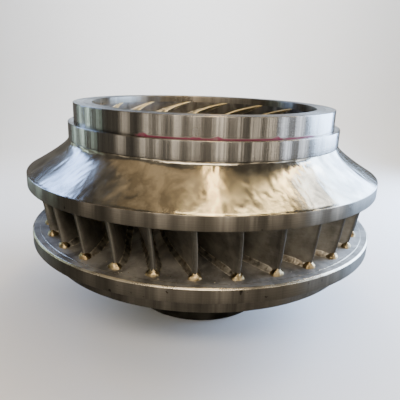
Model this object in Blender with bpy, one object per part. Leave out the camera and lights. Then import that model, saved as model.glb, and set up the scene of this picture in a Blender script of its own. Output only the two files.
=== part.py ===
"""Francis turbine runner, standing upside down on its shaft face with the band upwards.

Metres, +Z up. The origin is the centre of the shaft hub's flat face, on the runner's axis. Azimuths are
in degrees, 0 at the near side (-Y) and growing anticlockwise seen from above. The crown is the lower
disc, the band is the upper one, and the blades stand between them: each long blade reaches from the
inlet rim to the throat, and a short one stands halfway between each two long ones.
"""

import math

import bmesh
import bpy
from mathutils import Vector

# Overall sizes
OVERALL_HEIGHT = 0.726
SEGMENTS = 60
FLOW_STEPS = 10
FIT_GAP = 0.0003
EDGE = 0.002

# Crown: the lower disc, round its hub
CROWN_RADIUS = 0.600
CROWN_RIM_TOP = 0.313
CROWN_RIM_BOTTOM = 0.269
CROWN_BACK_RADIUS = 0.470
CROWN_BACK_Z = 0.216
CROWN_FLOW_OUTER = (0.550, 0.313)
CROWN_FLOW_INNER = (0.180, 0.560)
CROWN_FLOW_HANDLES = ((0.360, 0.313), (0.215, 0.415))

# Seal ring on the crown's back
CROWN_SEAL_RADIUS = 0.539
CROWN_SEAL_BOTTOM = 0.208

# Hub in the middle of the crown, and the wider boss under it that the shaft's end fits in
CROWN_HUB_RADIUS = 0.174
CROWN_HUB_TOP = 0.576
HUB_RADIUS = 0.240
HUB_EDGE = 0.006
BORE_RADIUS = 0.085
KEYWAY_WIDTH = 0.042
KEYWAY_DEPTH = 0.014

# Band: the trumpet-shaped upper disc, with the throat that the water leaves by
BAND_RIM_RADIUS = 0.606
BAND_RIM_TOP = 0.507
BAND_RIM_BOTTOM = 0.466
BAND_SLEEVE_RADIUS = 0.415
BAND_SHOULDER_Z = 0.609
BAND_OUTER_TOP = (0.469, 0.609)
BAND_OUTER_HANDLE = (0.474, 0.583)
BAND_FLOW_OUTER = (0.576, 0.466)
BAND_FLOW_INNER = (0.388, 0.702)
BAND_FLOW_HANDLES = ((0.512, 0.466), (0.397, 0.550))

# Seal rings shrunk on the band's sleeve
LOWER_RING_RADIUS = 0.469
LOWER_RING_TOP = 0.664
UPPER_RING_RADIUS = 0.450

# Blades
LONG_BLADES = 15
FIRST_SHORT_AZIMUTH = -1.0
BLADE_PITCH = 360 / (2 * LONG_BLADES)
BLADE_GAP = 0.0010
CROWN_WRAP = 52.5
BAND_WRAP = 84.5
STRAIGHT_INLET = 0.2
BAND_SWEEP = 2.15
INLET_BOW = 0.3
INLET_LEAN = 0.5
WRAP_BLEND = 3.0
NOSE_HALF = 0.0028
THICKEST_HALF = 0.0065
OUTLET_HALF = 0.0040
NOSE_ROWS = (0.0, 0.005, 0.018)
SHORT_STEPS = 6
ACROSS = 5

STAINLESS = (0.46, 0.45, 0.42, 1.0)


def clear_scene():
    for thing in list(bpy.data.objects):
        bpy.data.objects.remove(thing, do_unlink=True)


def steel(name, shade, roughness):
    """A stainless steel of its own lightness and polish."""
    made = bpy.data.materials.new(name)
    made.use_nodes = True
    shader = made.node_tree.nodes["Principled BSDF"]
    colour = [channel * shade for channel in STAINLESS[:3]] + [1.0]
    shader.inputs["Base Color"].default_value = colour
    shader.inputs["Metallic"].default_value = 1.0
    shader.inputs["Roughness"].default_value = roughness
    return made


def finished_mesh(name, work, material):
    """A mesh from the bmesh it was made in, smooth except over its real edges."""
    mesh = bpy.data.meshes.new(name)
    work.to_mesh(mesh)
    work.free()
    mesh.shade_smooth()
    mesh.set_sharp_from_angle(angle=math.radians(35))
    mesh.materials.append(material)
    return mesh


def place(name, mesh, azimuth=0.0):
    """An object of the scene with this mesh, turned about the runner's axis."""
    made = bpy.data.objects.new(name, mesh)
    made.rotation_euler.z = math.radians(azimuth)
    bpy.context.scene.collection.objects.link(made)
    return made


def bezier(start, handles, end, t):
    """(radius, z) at t from 0 to 1 on a curve with two handles."""
    weights = ((1 - t) ** 3, 3 * t * (1 - t) ** 2, 3 * t * t * (1 - t), t ** 3)
    points = (start, handles[0], handles[1], end)
    return tuple(sum(w * p[i] for w, p in zip(weights, points)) for i in (0, 1))


def crown_flow(t):
    """The crown's flow surface from the inlet (t 0) to the top of its hub (t 1)."""
    return bezier(CROWN_FLOW_OUTER, CROWN_FLOW_HANDLES, CROWN_FLOW_INNER, t)


def band_flow(t):
    """The band's flow surface from the inlet (t 0) to the throat (t 1)."""
    return bezier(BAND_FLOW_OUTER, BAND_FLOW_HANDLES, BAND_FLOW_INNER, t)


def band_outer(t):
    """The band's outer trumpet from the seal rings (t 0) down to the rim (t 1)."""
    weights = ((1 - t) ** 2, 2 * t * (1 - t), t * t)
    points = (BAND_OUTER_TOP, BAND_OUTER_HANDLE, (BAND_RIM_RADIUS - EDGE, BAND_RIM_TOP))
    return tuple(sum(w * p[i] for w, p in zip(weights, points)) for i in (0, 1))


def sampled(curve, steps):
    """Points of a curve from its start to its end, a step apart."""
    return [curve(i / steps) for i in range(steps + 1)]


def turned(name, outline, material):
    """A ring turned from a closed outline of (radius, z) points."""
    work = bmesh.new()
    verts = [work.verts.new((radius, 0.0, z)) for radius, z in outline]
    edges = [work.edges.new((a, b)) for a, b in zip(verts, verts[1:] + verts[:1])]
    bmesh.ops.spin(
        work,
        geom=verts + edges,
        cent=(0, 0, 0),
        axis=(0, 0, 1),
        angle=2 * math.pi,
        steps=SEGMENTS,
        use_merge=True,
    )
    bmesh.ops.remove_doubles(work, verts=work.verts, dist=1e-6)
    bmesh.ops.recalc_face_normals(work, faces=work.faces)
    return place(name, finished_mesh(name, work, material))


def square_ring(inner, outer, bottom, top, edge=EDGE):
    """The outline of a ring of square section, its two outer edges broken."""
    return [
        (inner, top),
        (outer - edge, top),
        (outer, top - edge),
        (outer, bottom + edge),
        (outer - edge, bottom),
        (inner, bottom),
    ]


def cut_keyway(target):
    """A keyway along the bore at its far side."""
    work = bmesh.new()
    bmesh.ops.create_cube(work, size=1.0)
    depth = BORE_RADIUS + KEYWAY_DEPTH
    bmesh.ops.scale(work, vec=(KEYWAY_WIDTH, depth, 2 * OVERALL_HEIGHT), verts=work.verts)
    bmesh.ops.translate(work, vec=(0, depth / 2, 0), verts=work.verts)
    mesh = bpy.data.meshes.new(target.name + "_keyway_cutter")
    work.to_mesh(mesh)
    work.free()
    cutter = bpy.data.objects.new(mesh.name, mesh)
    bpy.context.scene.collection.objects.link(cutter)
    cutter.hide_render = True
    cutter.display_type = "WIRE"
    cut = target.modifiers.new("keyway", "BOOLEAN")
    cut.operation = "DIFFERENCE"
    cut.solver = "EXACT"
    cut.object = cutter


def crown():
    """The crown: a rim, a flow surface that rises up its hub, and a flat back."""
    inner = CROWN_HUB_RADIUS + FIT_GAP
    outline = [(inner, CROWN_FLOW_INNER[1])]
    outline += reversed(sampled(crown_flow, FLOW_STEPS))
    outline += [
        (CROWN_RADIUS - EDGE, CROWN_RIM_TOP),
        (CROWN_RADIUS, CROWN_RIM_TOP - EDGE),
        (CROWN_RADIUS, CROWN_RIM_BOTTOM + EDGE),
        (CROWN_RADIUS - EDGE, CROWN_RIM_BOTTOM),
        (CROWN_BACK_RADIUS, CROWN_RIM_BOTTOM),
        (CROWN_BACK_RADIUS, CROWN_BACK_Z),
        (inner, CROWN_BACK_Z),
    ]
    turned("crown", outline, steel("crown_steel", 1.0, 0.34))


def crown_hub():
    """The thick sleeve in the middle of the crown, bored and keyed for the shaft."""
    outline = square_ring(BORE_RADIUS, CROWN_HUB_RADIUS, CROWN_BACK_Z, CROWN_HUB_TOP)
    made = turned("crown_hub", outline, steel("crown_hub_steel", 0.9, 0.34))
    cut_keyway(made)


def crown_seal_ring():
    outline = square_ring(
        CROWN_BACK_RADIUS + FIT_GAP,
        CROWN_SEAL_RADIUS,
        CROWN_SEAL_BOTTOM,
        CROWN_RIM_BOTTOM - FIT_GAP,
    )
    turned("crown_seal_ring", outline, steel("crown_seal_steel", 0.8, 0.40))


def shaft_hub():
    """The boss under the crown, bored and keyed in line with its hub. The runner stands on it here."""
    outline = square_ring(BORE_RADIUS, HUB_RADIUS, 0.0, CROWN_BACK_Z - FIT_GAP, HUB_EDGE)
    made = turned("shaft_hub", outline, steel("hub_steel", 0.35, 0.55))
    cut_keyway(made)


def band():
    """The band: its rim, the trumpet outside, the flow surface inside, and the sleeve round the throat."""
    throat_radius = BAND_FLOW_INNER[0]
    outline = [
        (throat_radius + EDGE, OVERALL_HEIGHT),
        (BAND_SLEEVE_RADIUS, OVERALL_HEIGHT),
        (BAND_SLEEVE_RADIUS, BAND_SHOULDER_Z),
    ]
    outline += sampled(band_outer, 7)
    outline += [
        (BAND_RIM_RADIUS, BAND_RIM_TOP - EDGE),
        (BAND_RIM_RADIUS, BAND_RIM_BOTTOM + EDGE),
        (BAND_RIM_RADIUS - EDGE, BAND_RIM_BOTTOM),
    ]
    outline += sampled(band_flow, FLOW_STEPS)
    outline += [(throat_radius, OVERALL_HEIGHT - EDGE)]
    turned("band", outline, steel("band_steel", 1.0, 0.30))


def band_seal_rings():
    """The two rings on the band's sleeve, the upper one smaller, which leaves a ledge between them."""
    inner = BAND_SLEEVE_RADIUS + FIT_GAP
    lower = square_ring(inner, LOWER_RING_RADIUS, BAND_SHOULDER_Z + FIT_GAP, LOWER_RING_TOP)
    upper = square_ring(inner, UPPER_RING_RADIUS, LOWER_RING_TOP + FIT_GAP, OVERALL_HEIGHT)
    turned("lower_seal_ring", lower, steel("lower_ring_steel", 1.05, 0.24))
    turned("upper_seal_ring", upper, steel("upper_ring_steel", 1.1, 0.22))


def off_surface(curve, t, side):
    """A point of a flow curve, moved off it into the water passage by the blade's end gap."""
    step = 0.01
    before = curve(t - step)
    after = curve(t + step)
    along = Vector((after[0] - before[0], after[1] - before[1])).normalized()
    return Vector(curve(t)) + Vector((along.y, -along.x)) * side * BLADE_GAP


def section_point(u, v):
    """(radius, z) of the blade at u from inlet to outlet and v from crown to band."""
    at_crown = off_surface(crown_flow, u, 1)
    at_band = off_surface(band_flow, u, -1)
    return at_crown.lerp(at_band, v)


def wrap(u, v):
    """How far the blade has turned, in degrees, at (u, v): radial at the inlet, then sweeping back.

    The inlet edge leans a little, its top to the side that the blade sweeps to, and bows the other way.
    """
    bend = math.hypot(1, STRAIGHT_INLET) - STRAIGHT_INLET
    at_crown = CROWN_WRAP * (math.hypot(u, STRAIGHT_INLET) - STRAIGHT_INLET) / bend
    at_band = BAND_WRAP * u ** BAND_SWEEP
    share = v ** WRAP_BLEND
    lean = (INLET_BOW * 4 * v * (1 - v) - INLET_LEAN * v) * (1 - u) ** 3
    return lean - at_crown * (1 - share) - at_band * share


def placed(radius, z, azimuth):
    angle = math.radians(azimuth)
    return Vector((radius * math.sin(angle), -radius * math.cos(angle), z))


def camber_point(u, v):
    radius, z = section_point(u, v)
    return placed(radius, z, wrap(u, v))


def half_thickness(share):
    """Half the blade's thickness at a share of its length: a round nose, a full middle, a thin outlet."""
    nose = min(1.0, share / 0.03) ** 0.5
    full = NOSE_HALF + (THICKEST_HALF - NOSE_HALF) * nose
    return full + (OUTLET_HALF - THICKEST_HALF) * max(0.0, (share - 0.3) / 0.7)


def side_angle(u, v, share):
    """The turn, in degrees, from the blade's middle surface to either of its sides."""
    step = 0.004
    along = camber_point(u + step, v) - camber_point(max(u - step, 0), v)
    across = camber_point(u, min(v + step, 1)) - camber_point(u, max(v - step, 0))
    normal = along.cross(across).normalized()
    radius, _ = section_point(u, v)
    around = placed(1, 0, wrap(u, v) + 90)
    slant = max(abs(normal.dot(around)), 0.35)
    return math.degrees(half_thickness(share) / (radius * slant))


def blade_mesh(name, steps, material):
    """One blade as a closed shell: two sides on a common net, joined round its four edges.

    Its rows stand where the crown's and the band's outlines have their points, so its ends follow them.
    """
    rows = list(NOSE_ROWS) + [(i + 1) / FLOW_STEPS for i in range(steps)]
    work = bmesh.new()
    sides = []
    for side in (-1, 1):
        net = []
        for u in rows:
            line = []
            for j in range(ACROSS):
                v = j / (ACROSS - 1)
                radius, z = section_point(u, v)
                azimuth = wrap(u, v) + side * side_angle(u, v, u / rows[-1])
                line.append(work.verts.new(placed(radius, z, azimuth)))
            net.append(line)
        sides.append(net)
    one, other = sides
    last_row = len(rows) - 1
    last_line = ACROSS - 1
    for i in range(last_row):
        for j in range(last_line):
            for net in sides:
                work.faces.new((net[i][j], net[i + 1][j], net[i + 1][j + 1], net[i][j + 1]))
    for i in range(last_row):
        for j in (0, last_line):
            work.faces.new((one[i][j], one[i + 1][j], other[i + 1][j], other[i][j]))
    for j in range(last_line):
        for i in (0, last_row):
            work.faces.new((one[i][j], one[i][j + 1], other[i][j + 1], other[i][j]))
    bmesh.ops.recalc_face_normals(work, faces=work.faces)
    return finished_mesh(name, work, material)


def blades():
    """Short and long blades in turn round the runner, each kind on one shared mesh."""
    material = steel("blade_steel", 0.75, 0.36)
    short = blade_mesh("short_blade", SHORT_STEPS, material)
    long = blade_mesh("long_blade", FLOW_STEPS, material)
    for index in range(LONG_BLADES):
        azimuth = FIRST_SHORT_AZIMUTH + 2 * BLADE_PITCH * index
        place(f"short_blade_{index + 1:02d}", short, azimuth)
        place(f"long_blade_{index + 1:02d}", long, azimuth + BLADE_PITCH)


def main():
    clear_scene()
    shaft_hub()
    crown_seal_ring()
    crown()
    crown_hub()
    blades()
    band()
    band_seal_rings()


main()
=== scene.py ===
"""Francis turbine runner: its finished look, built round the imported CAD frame.

The runner stands upside down on its shaft hub. The crown is the lower disc, the band is the upper one
with the water's outlet on top, and long and short blades stand between them in turn. Metres, +Z up.
Azimuths are 0 at the near side (-Y) and grow anticlockwise seen from above.
"""

import math
from functools import partial

import bmesh
import bpy
import numpy as np
from bpy.props import FloatProperty, FloatVectorProperty, IntProperty, PointerProperty
from mathutils import Matrix, Vector


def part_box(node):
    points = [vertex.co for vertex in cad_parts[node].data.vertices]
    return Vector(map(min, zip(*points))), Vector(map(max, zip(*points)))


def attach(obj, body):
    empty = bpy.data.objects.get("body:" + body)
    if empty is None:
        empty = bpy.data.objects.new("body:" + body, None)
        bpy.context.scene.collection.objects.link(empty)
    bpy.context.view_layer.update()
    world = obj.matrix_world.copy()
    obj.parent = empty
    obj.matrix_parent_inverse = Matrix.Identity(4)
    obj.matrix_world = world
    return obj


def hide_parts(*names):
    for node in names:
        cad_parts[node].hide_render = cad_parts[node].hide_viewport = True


bl_info = {
    "name": "Francis Turbine Runner",
    "version": (1, 0, 0),
    "blender": (4, 5, 0),
    "location": "View3D > Sidebar > Runner",
    "description": "Welded stainless runner with turned rings, ground flow faces and weld beads",
    "category": "Add Mesh",
}

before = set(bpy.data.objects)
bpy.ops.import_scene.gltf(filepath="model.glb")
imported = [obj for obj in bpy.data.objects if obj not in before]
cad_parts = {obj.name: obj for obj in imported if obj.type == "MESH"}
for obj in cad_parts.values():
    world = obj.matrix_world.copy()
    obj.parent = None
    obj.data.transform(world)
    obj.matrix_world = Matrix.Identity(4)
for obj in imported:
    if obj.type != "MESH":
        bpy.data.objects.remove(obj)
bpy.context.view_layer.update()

# Flow and outside curves as (radius, z) handles, and the radius where the crown meets its hub
CROWN_FLOW = ((0.550, 0.313), (0.360, 0.313), (0.215, 0.415), (0.180, 0.560))
BAND_FLOW = ((0.576, 0.466), (0.512, 0.466), (0.397, 0.550), (0.388, 0.702))
BAND_OUTSIDE = ((0.469, 0.609), (0.474, 0.583), (0.604, 0.507))
CROWN_BORE_RADIUS = 0.1743

# Gap between fitted pieces, the slightest rounding, and the longest step of a turned outline
FIT_GAP = 0.0003
SLIGHT_EDGE = 0.0005
OUTLINE_STEP = 0.02

# How a blade turns: where the crown's sweep sets in, how late the band's does, its bow and its lean
SWEEP_START = 0.2
BAND_SWEEP_POWER = 2.15
BOW = math.radians(0.3)
LEAN = math.radians(0.5)

# Half a blade's thickness at its nose and outlet edge, and how far their roundings reach
NOSE_HALF = 0.0028
OUTLET_HALF = 0.0040
NOSE_LENGTH = 0.0045
OUTLET_LIP = 0.0012

# Edges of the red layout line: its inner radius on the ledge, and its height up the wall
INK_RADIUS = (0.4535, 0.4550)
INK_HEIGHT = (0.0015, 0.0050)

# The photo's view: camera place, its turns in radians, and its focal length and width in pixels
CAMERA_PLACE = (0.0, -1.6092, 0.8417)
CAMERA_PITCH = 0.2862
CAMERA_ROLL = 0.03348
CAMERA_YAW = -0.0028
FOCAL_PIXELS = 445
PHOTO_PIXELS = 400
SENSOR_WIDTH = 36

LONG_NODES = sorted(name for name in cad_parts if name.startswith("long_blade"))
SHORT_NODES = sorted(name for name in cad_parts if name.startswith("short_blade"))


def top_of(node):
    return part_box(node)[1].z


def foot_of(node):
    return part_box(node)[0].z


def radius_of(node):
    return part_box(node)[1].x


def linear(code):
    """A linear colour from an sRGB hex code."""
    parts = [int(code[i : i + 2], 16) / 255 for i in (1, 3, 5)]
    return (*(p / 12.92 if p <= 0.04045 else ((p + 0.055) / 1.055) ** 2.4 for p in parts), 1.0)


# Settings


def length(label, text, size):
    return FloatProperty(name=label, description=text, default=size, unit="LENGTH")


def angle(label, text, degrees):
    return FloatProperty(name=label, description=text, default=math.radians(degrees), subtype="ANGLE")


def number(label, text, count, least=0):
    return IntProperty(name=label, description=text, default=count, min=least)


def colour(label, text, code):
    base = linear(code)[:3]
    return FloatVectorProperty(name=label, description=text, default=base, size=3, subtype="COLOR")


class RunnerSizes(bpy.types.PropertyGroup):
    """Sizes of the crown, the hubs, the band and the rings."""

    crown_radius: length("Crown Radius", "Outside radius of the crown's rim", radius_of("crown"))
    crown_rim_bottom: length("Crown Rim Bottom", "Height of the underside of the crown's rim", 0.269)
    crown_back_radius: length("Crown Back Radius", "Radius of the step for its seal ring", 0.470)
    machined_margin: length("Machined Margin", "Width of the turned margin of the crown's face", 0.0245)
    bore_radius: length("Bore Radius", "Radius of the shaft bore", 0.085)
    keyway_width: length("Keyway Width", "Width of the keyway", 0.042)
    keyway_depth: length("Keyway Depth", "Depth of the keyway", 0.014)
    band_rim_bottom: length("Band Rim Bottom", "Height of the band rim's underside", foot_of("band"))
    sleeve_radius: length("Sleeve Radius", "Outside radius of the sleeve under the band's rings", 0.415)
    edge: length("Broken Edge", "Size of the broken edges on turned pieces", 0.0022)
    segments: number("Segments", "Steps round a turned piece", 288, 24)
    band_segments: number("Band Segments", "Steps round the band, whose marks are fine", 720, 24)


class BladeSettings(bpy.types.PropertyGroup):
    """How the blades are set out and swept."""

    pairs: number("Pairs", "Number of long blades, and of short ones", len(LONG_NODES), 1)
    first_azimuth: angle("First Azimuth", "Azimuth of the first short blade's inlet edge", -1.0)
    crown_wrap: angle("Crown Wrap", "Turn of a long blade along the crown", 52.5)
    band_wrap: angle("Band Wrap", "Turn of a long blade along the band", 84.5)
    thickness: length("Thickness", "Thickness of a blade's middle", 0.013)
    short_share: FloatProperty(
        name="Short Share",
        description="Share of the flow path that a short blade covers",
        default=0.6,
        subtype="FACTOR",
    )


class WeldSettings(bpy.types.PropertyGroup):
    """Sizes of the weld beads at the blades' ends."""

    crown_leg: length("Crown Leg", "Leg of the fillet weld between a blade and the crown", 0.0155)
    band_leg: length("Band Leg", "Leg of the fillet weld between a blade and the band", 0.010)
    ripple_spacing: length("Ripple Spacing", "Distance between the ripples left by the arc", 0.0065)
    ripple_depth: length("Ripple Depth", "Height of the ripples", 0.0011)
    spatter: FloatProperty(
        name="Spatter", description="Beads of spatter to the square metre", default=620.0, min=0.0
    )
    seed: number("Seed", "Seed of the welds' unevenness", 7)


class FinishColours(bpy.types.PropertyGroup):
    """Base colours of the finishes."""

    rings: colour("Turned Rings", "Fine turned stainless steel of the seal rings", "#b4afa5")
    rims: colour("Turned Rims", "Turned stainless steel of the crown's and band's rims", "#989184")
    crown_face: colour("Crown Face", "Stainless steel of the crown's flow face, ground", "#bcb8af")
    band_face: colour("Band Face", "Stainless steel of the band's outside, polished", "#bab19d")
    flow_side: colour("Flow Side", "Stainless steel of the band's flow side, left dull", "#8b8780")
    # The filed edge is pale golden as filed steel, and partly as a painted highlight along the crown's
    # upper edge
    filed_edge: colour("Filed Edge", "Stainless steel of the crown's filed edge", "#dcd0b4")
    blades: colour("Blades", "Cast stainless steel of the blades", "#b5b1a7")
    welds: colour("Welds", "Brushed weld metal", "#cdc6b4")
    heels: colour("Weld Heels", "Straw coloured weld metal at the blades' noses", "#c7b287")
    # The shaft hub's colour is nearly black as painted shade
    shaft_hub: colour("Shaft Hub", "Carbon steel of the shaft hub, painted nearly black as shade", "#4a473e")
    marker: colour("Marker", "Red ink of the layout line", "#7f2f4c")


# Shapes


def placed(radius, z, azimuth):
    """A point at a radius and height, azimuth in radians."""
    return Vector((radius * math.sin(azimuth), -radius * math.cos(azimuth), z))


def on_curve(handles, t):
    """(radius, z) at t on a Bezier curve with three or four handles."""
    if len(handles) == 3:
        weights = ((1 - t) ** 2, 2 * t * (1 - t), t * t)
    else:
        weights = ((1 - t) ** 3, 3 * t * (1 - t) ** 2, 3 * t * t * (1 - t), t**3)
    return Vector([sum(w * h[i] for w, h in zip(weights, handles)) for i in (0, 1)])


def curve_corners(handles, steps):
    """Corners without rounding along a curve."""
    return [(*on_curve(handles, i / steps), 0) for i in range(steps + 1)]


def rounded(corners, steps=4):
    """A closed outline from (radius, z, rounding) corners."""
    outline = []
    for i, (radius, z, rounding) in enumerate(corners):
        here = Vector((radius, z))
        if rounding <= 0:
            outline.append(here)
            continue
        back = Vector(corners[i - 1][:2]) - here
        ahead = Vector(corners[(i + 1) % len(corners)][:2]) - here
        start = here + back.normalized() * min(rounding, back.length / 2)
        end = here + ahead.normalized() * min(rounding, ahead.length / 2)
        for k in range(steps + 1):
            t = k / steps
            outline.append(start * (1 - t) ** 2 + here * (2 * t * (1 - t)) + end * t * t)
    return outline


def subdivided(outline):
    """The outline with its long stretches cut into steps."""
    points = []
    for here, ahead in zip(outline, outline[1:] + outline[:1]):
        steps = max(1, math.ceil((ahead - here).length / OUTLINE_STEP))
        points += [here.lerp(ahead, k / steps) for k in range(steps)]
    return points


def ring_outline(node, inner, edges):
    """The square outline of a ring that fills its CAD node's box. The edges round its corners in turn,
    from the top inside one outwards and down."""
    low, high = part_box(node)
    corners = ((inner, high.z), (high.x, high.z), (high.x, low.z), (inner, low.z))
    return rounded([(*corner, edge) for corner, edge in zip(corners, edges)])


def shell(name, verts, faces, sharp, marks=None):
    """A mesh with doubles merged, faces outwards, and smooth except over edges sharper than this.

    The marks are named values on its points, for its material or its geometry tree.
    """
    mesh = bpy.data.meshes.new(name)
    mesh.from_pydata(verts, [], faces)
    for label, values in (marks or {}).items():
        mesh.attributes.new(label, "FLOAT", "POINT").data.foreach_set("value", values)
    work = bmesh.new()
    work.from_mesh(mesh)
    bmesh.ops.remove_doubles(work, verts=work.verts, dist=1e-6)
    bmesh.ops.recalc_face_normals(work, faces=work.faces)
    work.to_mesh(mesh)
    work.free()
    mesh.shade_smooth()
    mesh.set_sharp_from_angle(angle=math.radians(sharp))
    return mesh


def lattice(rows, columns, first=0, closed=False):
    """The faces between points laid out in rows, each of which may close into a ring."""
    faces = []
    for i in range(rows - 1):
        a = first + i * columns
        for k in range(columns if closed else columns - 1):
            n = (k + 1) % columns
            faces.append((a + k, a + columns + k, a + columns + n, a + n))
    return faces


def turned_mesh(name, outline, segments, relief=None):
    """A ring turned from a closed outline. The relief moves its points out along their normals."""
    profile = np.array([tuple(point) for point in outline])
    count = len(profile)
    following = np.roll(profile, -1, 0)
    along = following - np.roll(profile, 1, 0)
    normal = np.stack([along[:, 1], -along[:, 0]], 1)
    normal /= np.linalg.norm(normal, axis=1)[:, None] + 1e-12
    area = np.sum(profile[:, 0] * following[:, 1] - following[:, 0] * profile[:, 1])
    normal *= 1 if area > 0 else -1
    around = np.arange(segments) * 2 * math.pi / segments
    radius = np.repeat(profile[:, :1], segments, 1)
    height = np.repeat(profile[:, 1:], segments, 1)
    if relief:
        rise = relief(radius, height, around[None, :])
        radius = radius + rise * normal[:, :1]
        height = height + rise * normal[:, 1:]
    verts = np.stack([radius * np.sin(around), -radius * np.cos(around), height], -1).reshape(-1, 3)
    here = np.arange(count)[:, None] * segments + np.arange(segments)[None, :]
    ahead = np.roll(here, -1, 1)
    faces = np.stack([here, ahead, np.roll(ahead, -1, 0), np.roll(here, -1, 0)], -1).reshape(-1, 4)
    return shell(name, verts.tolist(), faces.tolist(), 32)


def shown(name, mesh, material, nodes=()):
    """The finished piece: it rides on the runner and stands for its CAD nodes."""
    if material:
        mesh.materials.clear()
        mesh.materials.append(material)
    piece = bpy.data.objects.new(name, mesh)
    bpy.context.scene.collection.objects.link(piece)
    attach(piece, "root")
    if nodes:
        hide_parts(*nodes)
    return piece


def section_point(u, v):
    """(radius, z) of a blade at u from inlet to outlet and v from crown to band."""
    return on_curve(CROWN_FLOW, u).lerp(on_curve(BAND_FLOW, u), v)


def wrap(blades, u, v):
    """How far a blade has turned at (u, v): radial at the inlet, then sweeping back."""
    full = math.hypot(1, SWEEP_START) - SWEEP_START
    at_crown = blades.crown_wrap * (math.hypot(u, SWEEP_START) - SWEEP_START) / full
    at_band = blades.band_wrap * max(u, 0) ** BAND_SWEEP_POWER
    share = max(v, 0) ** 3
    lean = (BOW * 4 * v * (1 - v) - LEAN * v) * (1 - u) ** 3
    return lean - at_crown * (1 - share) - at_band * share


def camber_point(blades, u, v):
    radius, z = section_point(u, v)
    return placed(radius, z, wrap(blades, u, v))


def half_thickness(blades, share, path):
    """Half a blade's thickness at a share of its path: a round nose, a full middle, a thin outlet."""
    full = blades.thickness / 2
    full_from, thins_from = 0.03, 0.3
    swelling = min(1.0, share / full_from) ** 0.5
    thinning = max(0.0, (share - thins_from) / (1 - thins_from))
    half = NOSE_HALF + (full - NOSE_HALF) * swelling + (OUTLET_HALF - full) * thinning
    inside = 1 - min(1.0, share * path / NOSE_LENGTH)
    lip = min(1.0, (1 - share) * path / OUTLET_LIP)
    return half * math.sqrt(1 - inside * inside) * (0.78 + 0.22 * lip)


def side_point(blades, u, v, side, share, path):
    """A point of a blade's surface, on the side -1 or 1 of its middle."""
    step = 0.004
    least_slant = 0.35
    ahead = camber_point(blades, u + step, v) - camber_point(blades, max(u - step, 0), v)
    across = camber_point(blades, u, v + step) - camber_point(blades, u, v - step)
    normal = ahead.cross(across).normalized()
    radius, z = section_point(u, v)
    azimuth = wrap(blades, u, v)
    slant = max(abs(normal.dot(placed(1, 0, azimuth + math.pi / 2))), least_slant)
    turn = half_thickness(blades, share, path) / (radius * slant)
    return placed(radius, z, azimuth + side * turn)


def path_length(blades, end, steps=40):
    points = [camber_point(blades, end * i / steps, 0.5) for i in range(steps + 1)]
    return sum((b - a).length for a, b in zip(points, points[1:]))


def blade_mesh(name, blades, end):
    """One blade as a closed shell whose nose is round, with how far each point is from its two edges."""
    path = path_length(blades, end)
    # Stations stand close together round the nose, and levels reach just into the welds at both ends
    shares = [d / path for d in (0, 0.0004, 0.0012, 0.0024, 0.0045, 0.008, 0.014, 0.022)]
    shares += list(np.linspace(0.032 / path, 1 - OUTLET_LIP / path, 40)) + [1.0]
    levels = list(np.linspace(-0.008, 1.008, 19))
    rows, lines = len(shares), len(levels)
    stations = [(side, share, v) for side in (-1, 1) for share in shares for v in levels]
    verts = [side_point(blades, share * end, v, side, share, path) for side, share, v in stations]
    other = rows * lines
    faces = lattice(rows, lines) + lattice(rows, lines, other)
    for i in range(rows - 1):
        for j in (0, lines - 1):
            a = i * lines + j
            faces.append((a, a + lines, other + a + lines, other + a))
    for j in range(lines - 1):
        a = (rows - 1) * lines + j
        faces.append((a, a + 1, other + a + 1, other + a))
    marks = {
        "from_inlet": [share * path for _, share, _ in stations],
        "from_outlet": [(1 - share) * path for _, share, _ in stations],
        "side": [side for side, _, _ in stations],
    }
    return shell(name, verts, faces, 40, marks)


def surface_normal(handles, u, azimuth, side):
    """The normal, into the water passage, of the surface turned from a flow curve."""
    along = (on_curve(handles, min(u + 0.01, 1)) - on_curve(handles, max(u - 0.01, 0))).normalized()
    return placed(along.y * side, -along.x * side, azimuth).normalized()


def fillet_ring(blades, u, end, path, side, at_band, leg):
    """A weld bead's section where a blade's side meets the crown or the band, as points and swells."""
    v, inward, handles = (1.0, -1, BAND_FLOW) if at_band else (0.0, 1, CROWN_FLOW)
    share = u / end
    step = 0.01
    corner = side_point(blades, u, v, side, share, path)
    ahead = side_point(blades, min(u + step, end), v, side, min(share + step / end, 1), path)
    behind = side_point(blades, max(u - step, 0.01), v, side, max(share - step / end, 0.02), path)
    forward = (ahead - behind).normalized()
    upward = side_point(blades, u, v + inward * 0.06, side, share, path) - corner
    upward = (upward - forward * upward.dot(forward)).normalized()
    normal = surface_normal(handles, u, wrap(blades, u, v), inward)
    outward = forward.cross(normal).normalized()
    if outward.dot(corner - camber_point(blades, u, v)) < 0:
        outward.negate()
    # Both toes sink a little into the steel, and the back of the bead lies inside the corner
    low = corner + outward * leg - normal * 0.0007
    high = corner + upward * leg - outward * 0.0003
    middle = corner + (low - corner + high - corner) * 0.34
    back = corner - (outward + normal) * 0.002
    ring = []
    for k in range(8):
        t = k / 7
        point = low * (1 - t) ** 2 + middle * (2 * t * (1 - t)) + high * t * t
        ring.append((point, math.sin(math.pi * t) ** 0.6))
    return [*ring, (back, 0.0)]


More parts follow.
